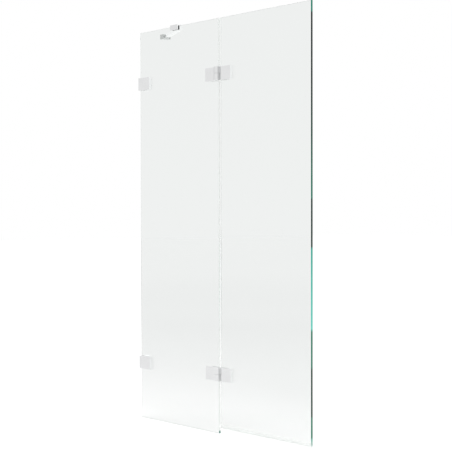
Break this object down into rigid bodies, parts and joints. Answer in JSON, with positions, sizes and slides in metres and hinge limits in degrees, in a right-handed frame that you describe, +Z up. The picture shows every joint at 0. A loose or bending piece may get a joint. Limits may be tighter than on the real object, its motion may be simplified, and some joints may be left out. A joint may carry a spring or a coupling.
{
  "type": "shower screen",
  "caption": "Frameless glass shower screen: fixed pane on wall clamps with a top support bar, door pane on glass-to-glass hinges, clear sealing strips.",
  "frame": {"origin": "foot of the fixed pane at its wall end, in the middle of the glass thickness; the wall face lies at X = -3 mm", "axes": "+X along the screen from the wall to the door's free edge, +Y inward to the side with the wall feet and the bar, +Z up"},
  "size_m": [1.003, 0.1567, 1.5057],
  "materials": {
    "clear_glass": "clear toughened float glass, polished green edges",
    "chrome": "bright chrome",
    "stainless": "plain stainless steel",
    "clear_seal": "clear soft plastic",
    "gasket": "pale soft gasket",
    "liner": "dark rubber liner",
    "bush": "grey acetal",
    "acetal": "white acetal"
  },
  "bodies": {
    "fixed_side": {"edge_seal_lower": "clear_seal", "edge_seal_middle": "clear_seal", "edge_seal_upper": "clear_seal", "fixed_glass": "clear_glass", "lower_clamp_back_gasket": "gasket", "lower_clamp_bracket": "chrome", "lower_clamp_front_gasket": "gasket", "lower_clamp_front_plate": "chrome", "lower_clamp_screws": "stainless", "lower_clamp_sleeves": "acetal", "lower_hinge_fixed_back_gasket": "gasket", "lower_hinge_fixed_back_plate": "chrome", "lower_hinge_fixed_front_gasket": "gasket", "lower_hinge_fixed_leaf": "chrome", "lower_hinge_fixed_screws": "stainless", "lower_hinge_fixed_sleeves": "acetal", "lower_hinge_pin": "stainless", "support_bar": "chrome", "support_clamp": "chrome", "support_grub_screws": "stainless", "support_liner": "liner", "support_pivot_screw": "stainless", "support_wall_block": "chrome", "support_wall_pin": "stainless", "upper_clamp_back_gasket": "gasket", "upper_clamp_bracket": "chrome", "upper_clamp_front_gasket": "gasket", "upper_clamp_front_plate": "chrome", "upper_clamp_screws": "stainless", "upper_clamp_sleeves": "acetal", "upper_hinge_fixed_back_gasket": "gasket", "upper_hinge_fixed_back_plate": "chrome", "upper_hinge_fixed_front_gasket": "gasket", "upper_hinge_fixed_leaf": "chrome", "upper_hinge_fixed_screws": "stainless", "upper_hinge_fixed_sleeves": "acetal", "upper_hinge_pin": "stainless"},
    "door": {"bottom_seal": "clear_seal", "door_glass": "clear_glass", "lower_hinge_bush": "bush", "lower_hinge_door_back_gasket": "gasket", "lower_hinge_door_back_plate": "chrome", "lower_hinge_door_front_gasket": "gasket", "lower_hinge_door_leaf": "chrome", "lower_hinge_door_screws": "stainless", "lower_hinge_door_sleeves": "acetal", "upper_hinge_bush": "bush", "upper_hinge_door_back_gasket": "gasket", "upper_hinge_door_back_plate": "chrome", "upper_hinge_door_front_gasket": "gasket", "upper_hinge_door_leaf": "chrome", "upper_hinge_door_screws": "stainless", "upper_hinge_door_sleeves": "acetal"}
  },
  "joints": [
    {"name": "door_swing", "type": "hinge", "parent": "fixed_side", "child": "door", "pos_m": [0.5055, -0.015, 0], "axis": [0, 0, -1], "range_deg": [0, 180]}
  ]
}
